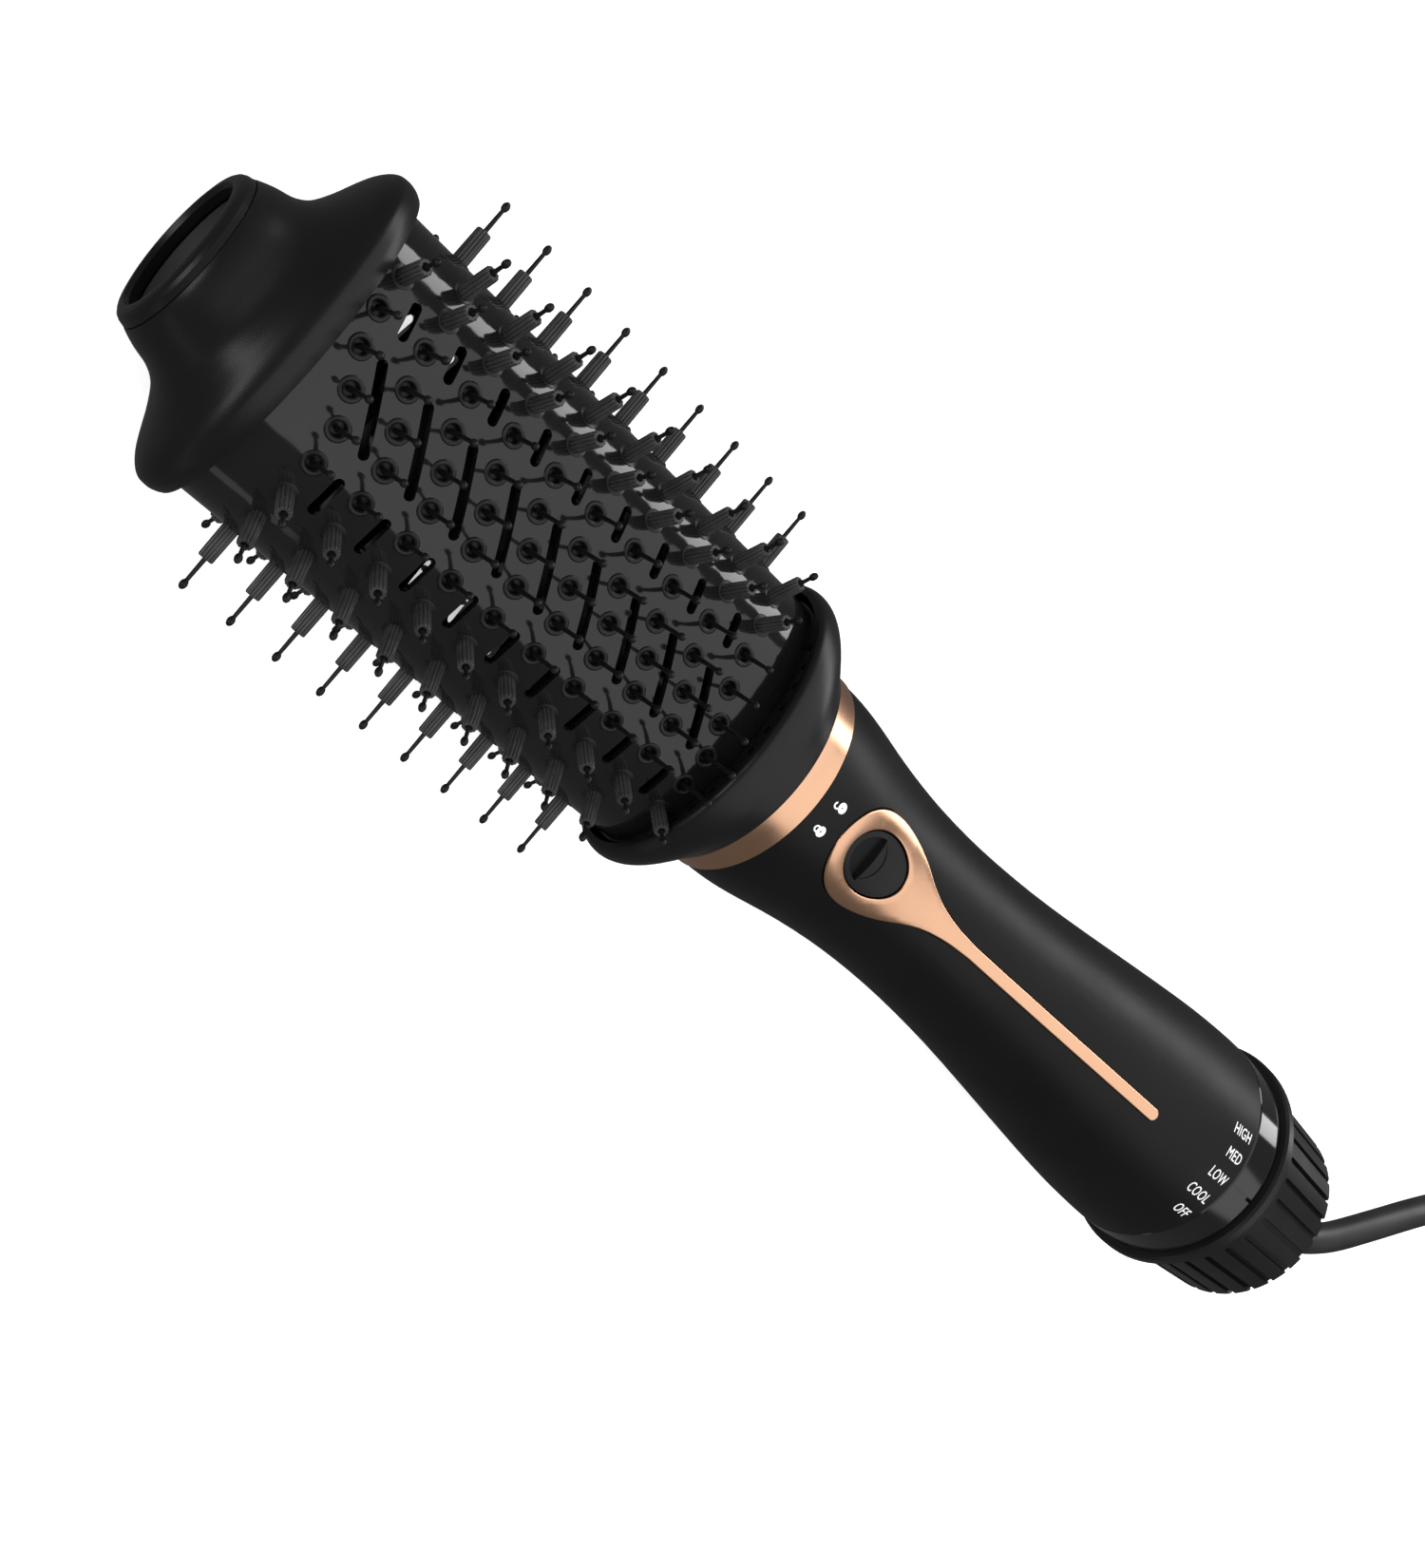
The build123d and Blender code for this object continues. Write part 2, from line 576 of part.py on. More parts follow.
def main():
    os.makedirs("parts", exist_ok=True)
    rows = row_places()
    save("barrel", barrel(rows))
    for number, (length, tufted, places) in enumerate(rows, 1):
        one = bristle(length, tufted)
        save("bristle_row_%02d" % number, *[place * one for place in places])
    save("nose_cap", nose_cap())
    save("nose_rim", nose_rim())
    save("nose_dish", nose_dish())
    save("collar", collar())
    save("vent_ring", vent_ring())
    save("spigot", spigot())
    save("barrel_screw", barrel_screw())
    save("air_baffle", air_baffle())
    save("handle_shell_upper", handle_shell(True))
    save("handle_shell_lower", handle_shell(False))
    save("handle_screws", *handle_screws())
    save("front_ring", front_ring())
    save("teardrop_trim", teardrop_trim())
    save("coupling_socket", coupling_socket())
    save("release_button", release_button())
    save("latch_tongue", latch_tongue())
    save("heater_tube", heater_tube())
    save("heater_boards", heater_boards())
    save("heater_windings", *heater_windings())
    save("thermal_cutout", thermal_cutout())
    save("motor_can", motor_can())
    save("motor_mount", motor_mount())
    save("motor_shaft", motor_shaft())
    save("impeller", impeller())
    save("fan_shroud", fan_shroud())
    save("switch_board", switch_board())
    save("wiper_ring", wiper_ring())
    save("tail_tube", tail_tube())
    save("inlet_grille", inlet_grille())
    save("inlet_filter", inlet_filter())
    save("dial_band", dial_band())
    save("dial_grip", dial_grip())
    save("strain_relief", strain_relief())
    save("cord_tube", cord_tube("cord_tube", LEAD))
    save("cord_coil", cord_coil())
    save("cord_tail", cord_tube("cord_tail", TAIL))
    save("plug_body", plug_body())
    save("plug_pins", *plug_pins())


main()
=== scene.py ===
import math
import random

import bmesh
import bpy
from mathutils import Euler, Matrix, Vector


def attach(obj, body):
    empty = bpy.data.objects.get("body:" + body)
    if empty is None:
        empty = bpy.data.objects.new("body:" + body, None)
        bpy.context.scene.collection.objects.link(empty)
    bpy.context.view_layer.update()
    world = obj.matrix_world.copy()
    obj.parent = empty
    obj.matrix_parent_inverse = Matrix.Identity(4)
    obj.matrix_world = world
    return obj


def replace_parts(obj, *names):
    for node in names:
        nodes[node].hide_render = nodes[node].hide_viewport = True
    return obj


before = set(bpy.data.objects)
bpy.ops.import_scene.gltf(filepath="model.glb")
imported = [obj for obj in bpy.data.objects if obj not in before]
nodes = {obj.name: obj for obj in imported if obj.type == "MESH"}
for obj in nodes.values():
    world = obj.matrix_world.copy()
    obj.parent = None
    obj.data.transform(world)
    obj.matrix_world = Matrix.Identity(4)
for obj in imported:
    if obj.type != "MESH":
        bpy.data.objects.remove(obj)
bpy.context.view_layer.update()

MM = 0.001
AXIS_Z = 28.8            # height of the brush's axis over the floor, in millimetres

# ---- driving dimensions, in millimetres about the brush's own axis: X to the nose, Z up ----
BARREL_A = 28.8          # barrel's half width, along Y
BARREL_B = 17.8          # barrel's half thickness, along Z
PITCH = 10.0             # between the bristles of a row
FIRST_BRISTLE_X = 139.2
TUFT_TOP = 6.5           # height of the fluted sleeves over the barrel
# each row on the top half: tip y, tip z, lean from Z in degrees, stagger along X, count, tufted
ROWS = [
    (0.0, 28.08, 0.0, 0.0, 10, False),
    (5.94, 28.08, 0.0, -2.57, 10, False),
    (12.33, 26.3, 0.0, -3.57, 10, False),
    (22.76, 22.22, 24.7, -4.12, 10, True),
    (31.44, 16.18, 47.0, -4.32, 9, True),
    (40.9, 0.0, 90.0, -5.2, 9, True),
    (-31.44, 16.18, -47.0, -6.26, 9, True),
    (-22.76, 22.22, -24.7, 3.96, 10, True),
    (-12.33, 26.3, 0.0, 4.4, 10, False),
    (-5.94, 28.08, 0.0, 3.05, 10, False),
]

CORD_R = 4.0
# route of the cord's centre: the lead down to the floor, and the tail from the coil to the plug
LEAD = [(-171.3, 0, 0), (-181.5, 0, 0), (-193.2, -2.5, -0.2), (-204.6, -7.7, -0.9), (-218.5, -18.4, -2.8),
        (-237.3, -32.2, -6.4), (-260.5, -45.0, -12.6), (-288.0, -54.3, -19.2), (-317.5, -59.0, -23.8),
        (-348.0, -60.2, -24.8), (-380.0, -60.5, -24.8)]
TAIL = [(-400.9, -54.5, -16.8), (-419.2, -59.4, -16.4), (-438.1, -57.7, -17.0), (-455.4, -49.7, -18.6),
        (-468.8, -36.3, -19.8), (-475.6, -21.8, -20.3)]
COIL_CENTRE = (-412.5, -11.0)
COIL_START_DEG = 270.0
COIL_STEP_DEG = 15.0
# the coil's winding: degrees wound, radius of the turn, height over the floor
COIL_STAGES = [(0, 49, 4), (300, 49, 4), (360, 41, 4), (660, 41, 4), (720, 33, 4), (1020, 33, 4),
               (1050, 29, 5.5), (1080, 29, 10.9), (1110, 33, 12.3), (1140, 37, 11), (1380, 37, 11),
               (1410, 37, 12.3), (1440, 37, 11), (1470, 41, 12.3), (1500, 45, 11), (1740, 45, 11),
               (1770, 45, 12.3)]


# ---- materials ----
def shader(name, color, roughness, metallic=0.0, **extra):
    """Principled material with its output; extra sets more of the shader's own sockets."""
    material = bpy.data.materials.new(name)
    material.use_nodes = True
    bsdf = material.node_tree.nodes["Principled BSDF"]
    bsdf.inputs["Base Color"].default_value = (*color, 1)
    bsdf.inputs["Roughness"].default_value = roughness
    bsdf.inputs["Metallic"].default_value = metallic
    for socket, value in extra.items():
        bsdf.inputs[socket.replace("_", " ")].default_value = value
    return material


def textured(material, kind, scale, low, high, target, **settings):
    """Drives one shader socket by a procedural pattern in object space, remapped to low..high."""
    tree = material.node_tree
    bsdf = tree.nodes["Principled BSDF"]
    coords = tree.nodes.new("ShaderNodeTexCoord")
    pattern = tree.nodes.new(kind)
    pattern.inputs["Scale"].default_value = scale
    for socket, value in settings.items():
        pattern.inputs[socket.replace("_", " ")].default_value = value
    remap = tree.nodes.new("ShaderNodeMapRange")
    remap.inputs["To Min"].default_value = low
    remap.inputs["To Max"].default_value = high
    tree.links.new(coords.outputs["Object"], pattern.inputs["Vector"])
    tree.links.new(pattern.outputs[0], remap.inputs["Value"])
    tree.links.new(remap.outputs["Result"], bsdf.inputs[target])
    return material


def tinted(material, scale, dark, light):
    """Slow variation of the base colour between two shades."""
    tree = material.node_tree
    coords = tree.nodes.new("ShaderNodeTexCoord")
    noise = tree.nodes.new("ShaderNodeTexNoise")
    noise.inputs["Scale"].default_value = scale
    ramp = tree.nodes.new("ShaderNodeValToRGB")
    ramp.color_ramp.elements[0].position = 0.3
    ramp.color_ramp.elements[1].position = 0.7
    ramp.color_ramp.elements[0].color = (*dark, 1)
    ramp.color_ramp.elements[1].color = (*light, 1)
    tree.links.new(coords.outputs["Object"], noise.inputs["Vector"])
    tree.links.new(noise.outputs[0], ramp.inputs["Fac"])
    tree.links.new(ramp.outputs["Color"], tree.nodes["Principled BSDF"].inputs["Base Color"])
    return material


def bumped(material, kind, scale, strength, depth, stretch=(1, 1, 1), **settings):
    """Fine relief from a procedural pattern in object space; depth in metres."""
    tree = material.node_tree
    coords = tree.nodes.new("ShaderNodeTexCoord")
    mapping = tree.nodes.new("ShaderNodeMapping")
    mapping.inputs["Scale"].default_value = stretch
    pattern = tree.nodes.new(kind)
    pattern.inputs["Scale"].default_value = scale
    for socket, value in settings.items():
        pattern.inputs[socket.replace("_", " ")].default_value = value
    bump = tree.nodes.new("ShaderNodeBump")
    bump.inputs["Strength"].default_value = strength
    bump.inputs["Distance"].default_value = depth
    tree.links.new(coords.outputs["Object"], mapping.inputs["Vector"])
    tree.links.new(mapping.outputs["Vector"], pattern.inputs["Vector"])
    tree.links.new(pattern.outputs[0], bump.inputs["Height"])
    tree.links.new(bump.outputs["Normal"], tree.nodes["Principled BSDF"].inputs["Normal"])
    return material


def gloss_black():
    """Polished black barrel with faint wipe marks and the slight waviness of moulded plastic."""
    m = shader("gloss_black_plastic", (0.006, 0.006, 0.0065), 0.1)
    tinted(m, 30, (0.005, 0.005, 0.0055), (0.007, 0.007, 0.0075))
    textured(m, "ShaderNodeTexNoise", 45, 0.05, 0.1, "Roughness", Detail=4)
    return bumped(m, "ShaderNodeTexNoise", 60, 0.04, 0.0002)


def soft_black():
    """Soft-touch handle: dull, with a very fine grain and faint handling marks."""
    m = shader("soft_touch_black", (0.004, 0.004, 0.004), 0.42, Specular_IOR_Level=0.18)
    tinted(m, 40, (0.0034, 0.0034, 0.0034), (0.0046, 0.0046, 0.0046))
    textured(m, "ShaderNodeTexNoise", 70, 0.36, 0.47, "Roughness", Detail=6)
    return bumped(m, "ShaderNodeTexNoise", 4200, 0.12, 0.00003)


def satin_black():
    """Heat-proof nose and collar: satin, with a spark-eroded grain."""
    m = shader("satin_black_plastic", (0.0045, 0.0045, 0.0045), 0.34, Specular_IOR_Level=0.3)
    tinted(m, 50, (0.0038, 0.0038, 0.0038), (0.0052, 0.0052, 0.0052))
    textured(m, "ShaderNodeTexNoise", 90, 0.29, 0.38, "Roughness", Detail=5)
    return bumped(m, "ShaderNodeTexVoronoi", 2600, 0.16, 0.00004)


def dial_black():
    """Hard plastic of the dial's grip and the inlet grille."""
    m = shader("dial_black_plastic", (0.005, 0.005, 0.005), 0.3, Specular_IOR_Level=0.35)
    tinted(m, 60, (0.004, 0.004, 0.004), (0.006, 0.006, 0.006))
    textured(m, "ShaderNodeTexNoise", 120, 0.27, 0.38, "Roughness", Detail=5)
    return bumped(m, "ShaderNodeTexNoise", 3000, 0.1, 0.00003)


def button_black():
    """Release button, worn a little uneven by fingers."""
    m = shader("button_black_plastic", (0.006, 0.006, 0.006), 0.38, Specular_IOR_Level=0.3)
    tinted(m, 120, (0.005, 0.005, 0.005), (0.007, 0.007, 0.007))
    textured(m, "ShaderNodeTexNoise", 200, 0.32, 0.45, "Roughness", Detail=4)
    return bumped(m, "ShaderNodeTexNoise", 3500, 0.1, 0.00003)


def nylon_black():
    """Nylon of the pins and their sockets."""
    m = shader("nylon_black", (0.005, 0.005, 0.005), 0.3, Specular_IOR_Level=0.3)
    tinted(m, 300, (0.004, 0.004, 0.004), (0.007, 0.007, 0.007))
    textured(m, "ShaderNodeTexNoise", 500, 0.25, 0.4, "Roughness")
    return bumped(m, "ShaderNodeTexNoise", 2500, 0.1, 0.00003)


def tuft_black_painted_highlight():
    """Fluted sleeve of the outer bristles, glossier than the pins; its base colour is lighter than theirs as
    painted highlight on the flutes.
    """
    # Base colour about six times the pins': painted highlight on the fluted sleeves.
    m = shader("tuft_black_painted_highlight", (0.03, 0.03, 0.031), 0.22)
    tinted(m, 260, (0.023, 0.023, 0.024), (0.038, 0.038, 0.039))
    textured(m, "ShaderNodeTexNoise", 500, 0.18, 0.28, "Roughness")
    return bumped(m, "ShaderNodeTexNoise", 1800, 0.15, 0.00004)


def rose_gold():
    """Satin metallised trim, brushed along the handle."""
    m = shader("rose_gold_metal", (0.84, 0.49, 0.31), 0.26, 1.0, Anisotropic=0.3)
    tinted(m, 25, (0.82, 0.475, 0.30), (0.86, 0.51, 0.33))
    textured(m, "ShaderNodeTexNoise", 130, 0.21, 0.31, "Roughness", Detail=5)
    return bumped(m, "ShaderNodeTexNoise", 900, 0.05, 0.00003, stretch=(0.05, 1, 1))


def rubber_black():
    """Cord, strain relief and plug."""
    m = shader("cord_rubber", (0.013, 0.013, 0.013), 0.42, Specular_IOR_Level=0.35)
    tinted(m, 80, (0.010, 0.010, 0.010), (0.016, 0.016, 0.016))
    textured(m, "ShaderNodeTexNoise", 120, 0.36, 0.5, "Roughness")
    return bumped(m, "ShaderNodeTexNoise", 1800, 0.1, 0.00003)


def bare_metal(name, color, roughness):
    """Metal with fine marks drawn out along X."""
    m = shader(name, color, roughness, 1.0)
    tinted(m, 200, tuple(c * 0.93 for c in color), color)
    textured(m, "ShaderNodeTexNoise", 300, roughness * 0.8, roughness * 1.3, "Roughness")
    return bumped(m, "ShaderNodeTexNoise", 900, 0.08, 0.00003, stretch=(0.1, 1, 1))


def inner_plastic(name, color, roughness):
    """Plain moulded part or board, mostly inside the housing."""
    m = shader(name, color, roughness)
    tinted(m, 90, tuple(c * 0.85 for c in color), color)
    textured(m, "ShaderNodeTexNoise", 150, roughness * 0.85, roughness * 1.1, "Roughness")
    return bumped(m, "ShaderNodeTexNoise", 1500, 0.1, 0.00004)


def white_ink():
    """Slightly uneven white print."""
    m = shader("white_print", (0.8, 0.8, 0.8), 0.5)
    tinted(m, 900, (0.74, 0.74, 0.74), (0.82, 0.82, 0.82))
    return textured(m, "ShaderNodeTexNoise", 1500, 0.45, 0.6, "Roughness")


GLOSS = gloss_black()
SOFT = soft_black()
SATIN = satin_black()
DIAL = dial_black()
BUTTON = button_black()
NYLON = nylon_black()
TUFT = tuft_black_painted_highlight()
ROSE = rose_gold()
RUBBER = rubber_black()
STEEL = bare_metal("bare_steel", (0.56, 0.56, 0.57), 0.3)
NICKEL = bare_metal("nickel_plate", (0.72, 0.70, 0.66), 0.16)
BRASS = bare_metal("contact_brass", (0.70, 0.53, 0.24), 0.3)
# Base colour well above the nose's satin black: painted light on nose_dish that lightens the shaded inside of
# the nose's opening. The parts inside the housing share it.
INNER = inner_plastic("inner_plastic_painted_light", (0.02, 0.02, 0.02), 0.55)
MICA = inner_plastic("mica_board", (0.62, 0.54, 0.38), 0.5)
BOARD = inner_plastic("circuit_board", (0.02, 0.16, 0.07), 0.4)
INK = white_ink()

NODE_MATERIALS = {
    GLOSS: ["barrel", "dial_band", "vent_ring"],
    SOFT: ["handle_shell_upper", "handle_shell_lower"],
    SATIN: ["nose_rim", "collar"],
    DIAL: ["dial_grip", "inlet_grille"],
    BUTTON: ["release_button"],
    ROSE: ["front_ring"],
    RUBBER: ["strain_relief", "plug_body"],
    STEEL: ["barrel_screw", "handle_screws", "latch_tongue", "thermal_cutout", "motor_can", "motor_shaft",
            "heater_windings", "inlet_filter"],
    NICKEL: ["plug_pins"],
    BRASS: ["wiper_ring"],
    # nose_dish takes the lightened inner plastic, as painted light inside the nose's opening.
    INNER: ["nose_dish", "spigot", "air_baffle", "coupling_socket", "motor_mount", "fan_shroud", "tail_tube",
            "impeller"],
    MICA: ["heater_tube", "heater_boards"],
    BOARD: ["switch_board"],
}


def dress_frame():
    """Gives every CAD node that stays its procedural material."""
    for material, names in NODE_MATERIALS.items():
        for name in names:
            mesh = nodes[name].data
            mesh.materials.clear()
            mesh.materials.append(material)


# ---- mesh helpers ----
def place_at(x, y, z, lean_deg=0.0):
    """Transform to a point about the brush's axis, with local Z leaned from Z towards Y; millimetres."""
    return Matrix.Translation((x, y, z + AXIS_Z)) @ Matrix.Rotation(math.radians(-lean_deg), 4, "X")


def add_lathe(bm, place, profile, segments, material_index=0, flute=None):
    """Closed surface of revolution about local Z from (height, radius) points; the ends close on the axis."""
    rings = []
    for height, radius in profile:
        if radius <= 0:
            rings.append([bm.verts.new(place @ Vector((0, 0, height)) * MM)])
            continue
        ring = []
        for k in range(segments):
            angle = 2 * math.pi * k / segments
            r = radius * (flute(k) if flute else 1)
            ring.append(bm.verts.new(place @ Vector((r * math.cos(angle), r * math.sin(angle), height)) * MM))
        rings.append(ring)
    for lower, upper in zip(rings, rings[1:]):
        for k in range(segments):
            n = (k + 1) % segments
            if len(lower) == 1:
                corners = [lower[0], upper[n], upper[k]]
            elif len(upper) == 1:
                corners = [lower[k], lower[n], upper[0]]
            else:
                corners = [lower[k], lower[n], upper[n], upper[k]]
            face = bm.faces.new(corners)
            face.smooth = True
            face.material_index = material_index


def finish_mesh(name, bm, materials, body, sharp_deg=35.0):
    """Turns a bmesh into a piece that rides on a body, with its sharp edges kept sharp."""
    bmesh.ops.recalc_face_normals(bm, faces=bm.faces)
    for edge in bm.edges:
        if edge.is_manifold and edge.calc_face_angle() > math.radians(sharp_deg):
            edge.smooth = False
    mesh = bpy.data.meshes.new(name)
    bm.to_mesh(mesh)
    bm.free()
    for material in materials:
        mesh.materials.append(material)
    piece = bpy.data.objects.new(name, mesh)
    bpy.context.scene.collection.objects.link(piece)
    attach(piece, body)
    return piece


# ---- bristles ----
def root_of(tip_y, tip_z, lean):
    """Where a bristle's line from its tip meets the barrel, and the bristle's length."""
    dy, dz = math.sin(math.radians(lean)), math.cos(math.radians(lean))
    a = (dy / BARREL_A) ** 2 + (dz / BARREL_B) ** 2
    b = 2 * (tip_y * dy / BARREL_A ** 2 + tip_z * dz / BARREL_B ** 2)
    c = (tip_y / BARREL_A) ** 2 + (tip_z / BARREL_B) ** 2 - 1
    t = (-b + math.sqrt(b * b - 4 * a * c)) / (2 * a)
    return tip_y + t * dy, tip_z + t * dz, -t


def pin_profile(length):
    """Slender pin with a drop-shaped tip, as (height, radius)."""
    profile = [(-0.7, 0), (-0.7, 0.55), (0.6, 0.52), (length * 0.5, 0.43), (length - 1.5, 0.38)]
    for t in (-60, -35, -5, 25, 55, 75):
        a = math.radians(t)
        profile.append((length + TIP_R - 1 + math.sin(a), TIP_R * math.cos(a)))
    return profile + [(length + TIP_R, 0)]


# round parts of a bristle, as (height over the barrel, radius): the open cup of a plain pin, the flat seat
# under a fluted sleeve, and the sleeve
SOCKET = [(-1.8, 0), (-1.8, 1.9), (-0.4, 1.9), (-0.4, 2.2), (0.0, 2.24), (0.17, 2.12), (0.24, 1.92),
          (0.2, 1.5), (0.0, 1.3), (-1.5, 1.22), (-1.5, 0)]
SEAT = [(-1.6, 0), (-1.6, 1.9), (-0.35, 1.9), (-0.35, 2.15), (0.0, 2.14), (0.05, 2.05), (0.05, 0)]
SLEEVE = [(-0.58, 0), (-0.58, 1.36), (0.3, 1.42), (TUFT_TOP - 0.25, 1.36), (TUFT_TOP, 1.22),
          (TUFT_TOP, 0.75), (TUFT_TOP - 0.7, 0.62), (TUFT_TOP - 0.7, 0)]
FLUTES = 12
SEAT_SEGMENTS = 24
PIN_SEGMENTS = 12
TIP_R = 0.72


def flute(k):
    """Radius factor of the k-th of four points per flute."""
    return (1.06, 1.03, 0.86, 1.03)[k % 4]


def bristle_row(number, row, half_turn):
    """One row: sockets in the barrel's wall, fluted sleeves on the outer rows, and ball-tipped pins."""
    tip_y, tip_z, lean, stagger, count, tufted = row
    y, z, length = root_of(tip_y, tip_z, lean)
    normal_lean = math.degrees(math.atan2(y / BARREL_A ** 2, z / BARREL_B ** 2))
    lift = Matrix.Translation((0, 0, AXIS_Z))
    turn = lift @ Matrix.Rotation(half_turn, 4, "X") @ lift.inverted()
    rng = random.Random(number)
    bm = bmesh.new()
    for i in range(count):
        x = FIRST_BRISTLE_X + stagger - i * PITCH
        add_lathe(bm, turn @ place_at(x, y, z, normal_lean), SEAT if tufted else SOCKET, SEAT_SEGMENTS)
        twist = Matrix.Rotation(rng.uniform(0, math.tau), 4, "Z")
        place = turn @ place_at(x, y, z, lean) @ twist
        add_lathe(bm, place, pin_profile(length), PIN_SEGMENTS)
        if tufted:
            add_lathe(bm, place, SLEEVE, 4 * FLUTES, 1, flute)
    name = "bristle_row_%02d" % number
    piece = finish_mesh(name + "_detailed", bm, [NYLON, TUFT], "head", 50)
    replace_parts(piece, name)


def bristles():
    """All rows: those on the top half, and the same again turned half round the axis."""
    for half, half_turn in enumerate((0.0, math.pi)):
        for i, row in enumerate(ROWS):
            bristle_row(half * len(ROWS) + i + 1, row, half_turn)


# ---- print on the handle ----
# (x, radius) of the handle's outside
HANDLE_STATIONS = [(25.2, 23.25), (14.2, 22.6), (4.2, 21.0), (-5.8, 19.7), (-15.8, 18.95), (-25.8, 18.7),
                   (-35.8, 18.9), (-50.8, 19.8), (-70.8, 21.9), (-90.8, 24.3), (-110.8, 26.4), (-127.0, 27.2)]
INK_LIFT = 0.06          # ink's top over the handle, and its underside below
INK_GRID = 0.6           # longest edge that the ink keeps before it is wrapped


def smooth_radius(x):
    """Cubic through the handle's stations."""
    pts = sorted(HANDLE_STATIONS)
    k = max(1, min(len(pts) - 3, sum(p[0] < x for p in pts) - 1))
    total = 0.0
    for i in range(k - 1, k + 3):
        term = pts[i][1]
        for j in range(k - 1, k + 3):
            if i != j:
                term *= (x - pts[j][0]) / (pts[i][0] - pts[j][0])
        total += term
    return total


def wrap_on_handle(u, v, x0, angle0_deg, height):
    """Point of the print: u towards the dial, v towards -Y round the handle; millimetres."""
    x = x0 - u
    r = smooth_radius(x) + height
    angle = math.radians(angle0_deg) - v / smooth_radius(x)
    return Vector((x, r * math.sin(angle), AXIS_Z + r * math.cos(angle))) * MM


def ink_piece(name, bm, x0, angle0_deg, along=(1, 0), across=(0, 1)):
    """Wraps a flat bmesh, in millimetres in its own plane, on the handle as a thin film of ink."""
    bmesh.ops.triangulate(bm, faces=bm.faces)
    bmesh.ops.remove_doubles(bm, verts=bm.verts, dist=0.0005)
    long_edges = [e for e in bm.edges if e.calc_length() > INK_GRID]
    bmesh.ops.subdivide_edges(bm, edges=long_edges, cuts=1)
    bmesh.ops.triangulate(bm, faces=bm.faces)
    made = bmesh.ops.extrude_face_region(bm, geom=bm.faces[:])
    raised = {g for g in made["geom"] if isinstance(g, bmesh.types.BMVert)}
    for vert in bm.verts:
        a, b = vert.co.x, vert.co.y
        u = a * along[0] + b * across[0]
        v = a * along[1] + b * across[1]
        vert.co = wrap_on_handle(u, v, x0, angle0_deg, INK_LIFT if vert in raised else -INK_LIFT)
    return finish_mesh(name, bm, [INK], "handle")


# words beside the dial, with their angle round the handle
LABELS = [("OFF", 25.0), ("COOL", 13.0), ("LOW", 0.8), ("MED", -11.5), ("HIGH", -23.3)]
LABEL_END_X = -125.3
LABEL_HEIGHT = 2.6
LABEL_CONDENSE = 0.72
LABEL_SPACING = 1.08
CAP_HEIGHT = 0.7         # a capital's height as part of the font's size


def label(word, angle_deg):
    """Generic setting word, condensed, ending beside the dial."""
    curve = bpy.data.curves.new("text_" + word, "FONT")
    curve.body = word
    curve.size = LABEL_HEIGHT / CAP_HEIGHT
    curve.resolution_u = 3
    curve.space_character = LABEL_SPACING
    temp = bpy.data.objects.new("text_" + word, curve)
    bpy.context.scene.collection.objects.link(temp)
    bpy.context.view_layer.update()
    flat = bpy.data.meshes.new_from_object(temp.evaluated_get(bpy.context.evaluated_depsgraph_get()))
    bpy.data.objects.remove(temp)
    bm = bmesh.new()
    bm.from_mesh(flat)
    bpy.data.meshes.remove(flat)
    for vert in bm.verts:
        vert.co.x *= LABEL_CONDENSE
        vert.co.y -= LABEL_HEIGHT / 2
    width = max(v.co.x for v in bm.verts)
    ink_piece("label_" + word.lower(), bm, LABEL_END_X + width, angle_deg)


PADLOCK_SEGMENTS = 28
BODY_Y = -0.55           # middle of the padlock's body, along the mark
BODY_R = 1.0
BODY_WIDEN = 1.12
KEYHOLE_Y = -0.5
KEYHOLE_R = 0.2
SHACKLE_Y = 0.55         # where the shackle's legs end and its bow starts
SHACKLE_R = 0.58
SHACKLE_RISE = 0.62
SHACKLE_FOOT = 0.2
SHACKLE_HALF_WIDTH = 0.17
SHACKLE_STEPS = 14
SHACKLE_PIVOT = Vector((-SHACKLE_R, 0.3))
OPEN_TILT_DEG = 38
OPEN_SWEEP = 1.05        # the open shackle's free end runs on a little


def ellipse(across, along, middle):
    """Closed outline in the mark's own plane, from its half axes and its middle along the mark."""
    angles = [2 * math.pi * k / PADLOCK_SEGMENTS for k in range(PADLOCK_SEGMENTS)]
    return [(across * math.cos(a), middle + along * math.sin(a), 0) for a in angles]


def shackle_path(opened):
    """Points along the middle of the shackle, with the direction of its width as an angle."""
    sweep = OPEN_SWEEP if opened else 1
    path = [(Vector((-SHACKLE_R, SHACKLE_FOOT)), math.pi)]
    for k in range(SHACKLE_STEPS + 1):
        a = math.pi * (1 - k / SHACKLE_STEPS * sweep)
        path.append((Vector((SHACKLE_R * math.cos(a), SHACKLE_Y + SHACKLE_RISE * math.sin(a))), a))
    if not opened:
        path.append((Vector((SHACKLE_R, SHACKLE_FOOT)), 0.0))
    return path


